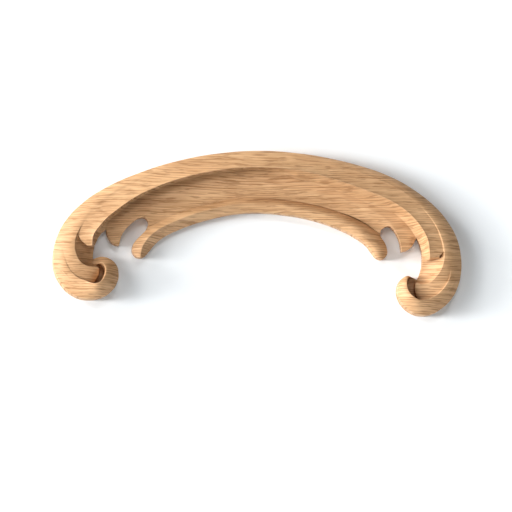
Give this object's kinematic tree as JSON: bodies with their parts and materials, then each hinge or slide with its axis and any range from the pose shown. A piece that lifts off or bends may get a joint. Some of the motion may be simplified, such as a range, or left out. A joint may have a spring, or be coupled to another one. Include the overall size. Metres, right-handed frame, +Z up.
{
  "type": "corner wood onlay",
  "caption": "Flat-backed carved oak onlay: an arched C-scroll with an inward-curling volute at each lower end and a lobed inner lip.",
  "frame": {"origin": "on the flat back, in the middle of the band at the crown of the arch", "axes": "+Z up towards the crown, +X to the right seen from the front, carved face towards -Y, flat back facing +Y"},
  "size_m": [0.2045, 0.0165, 0.0818],
  "materials": {
    "oak": "bare sanded oak, straight grain running across the arch"
  },
  "bodies": {
    "root": {"onlay": "oak"}
  },
  "joints": []
}
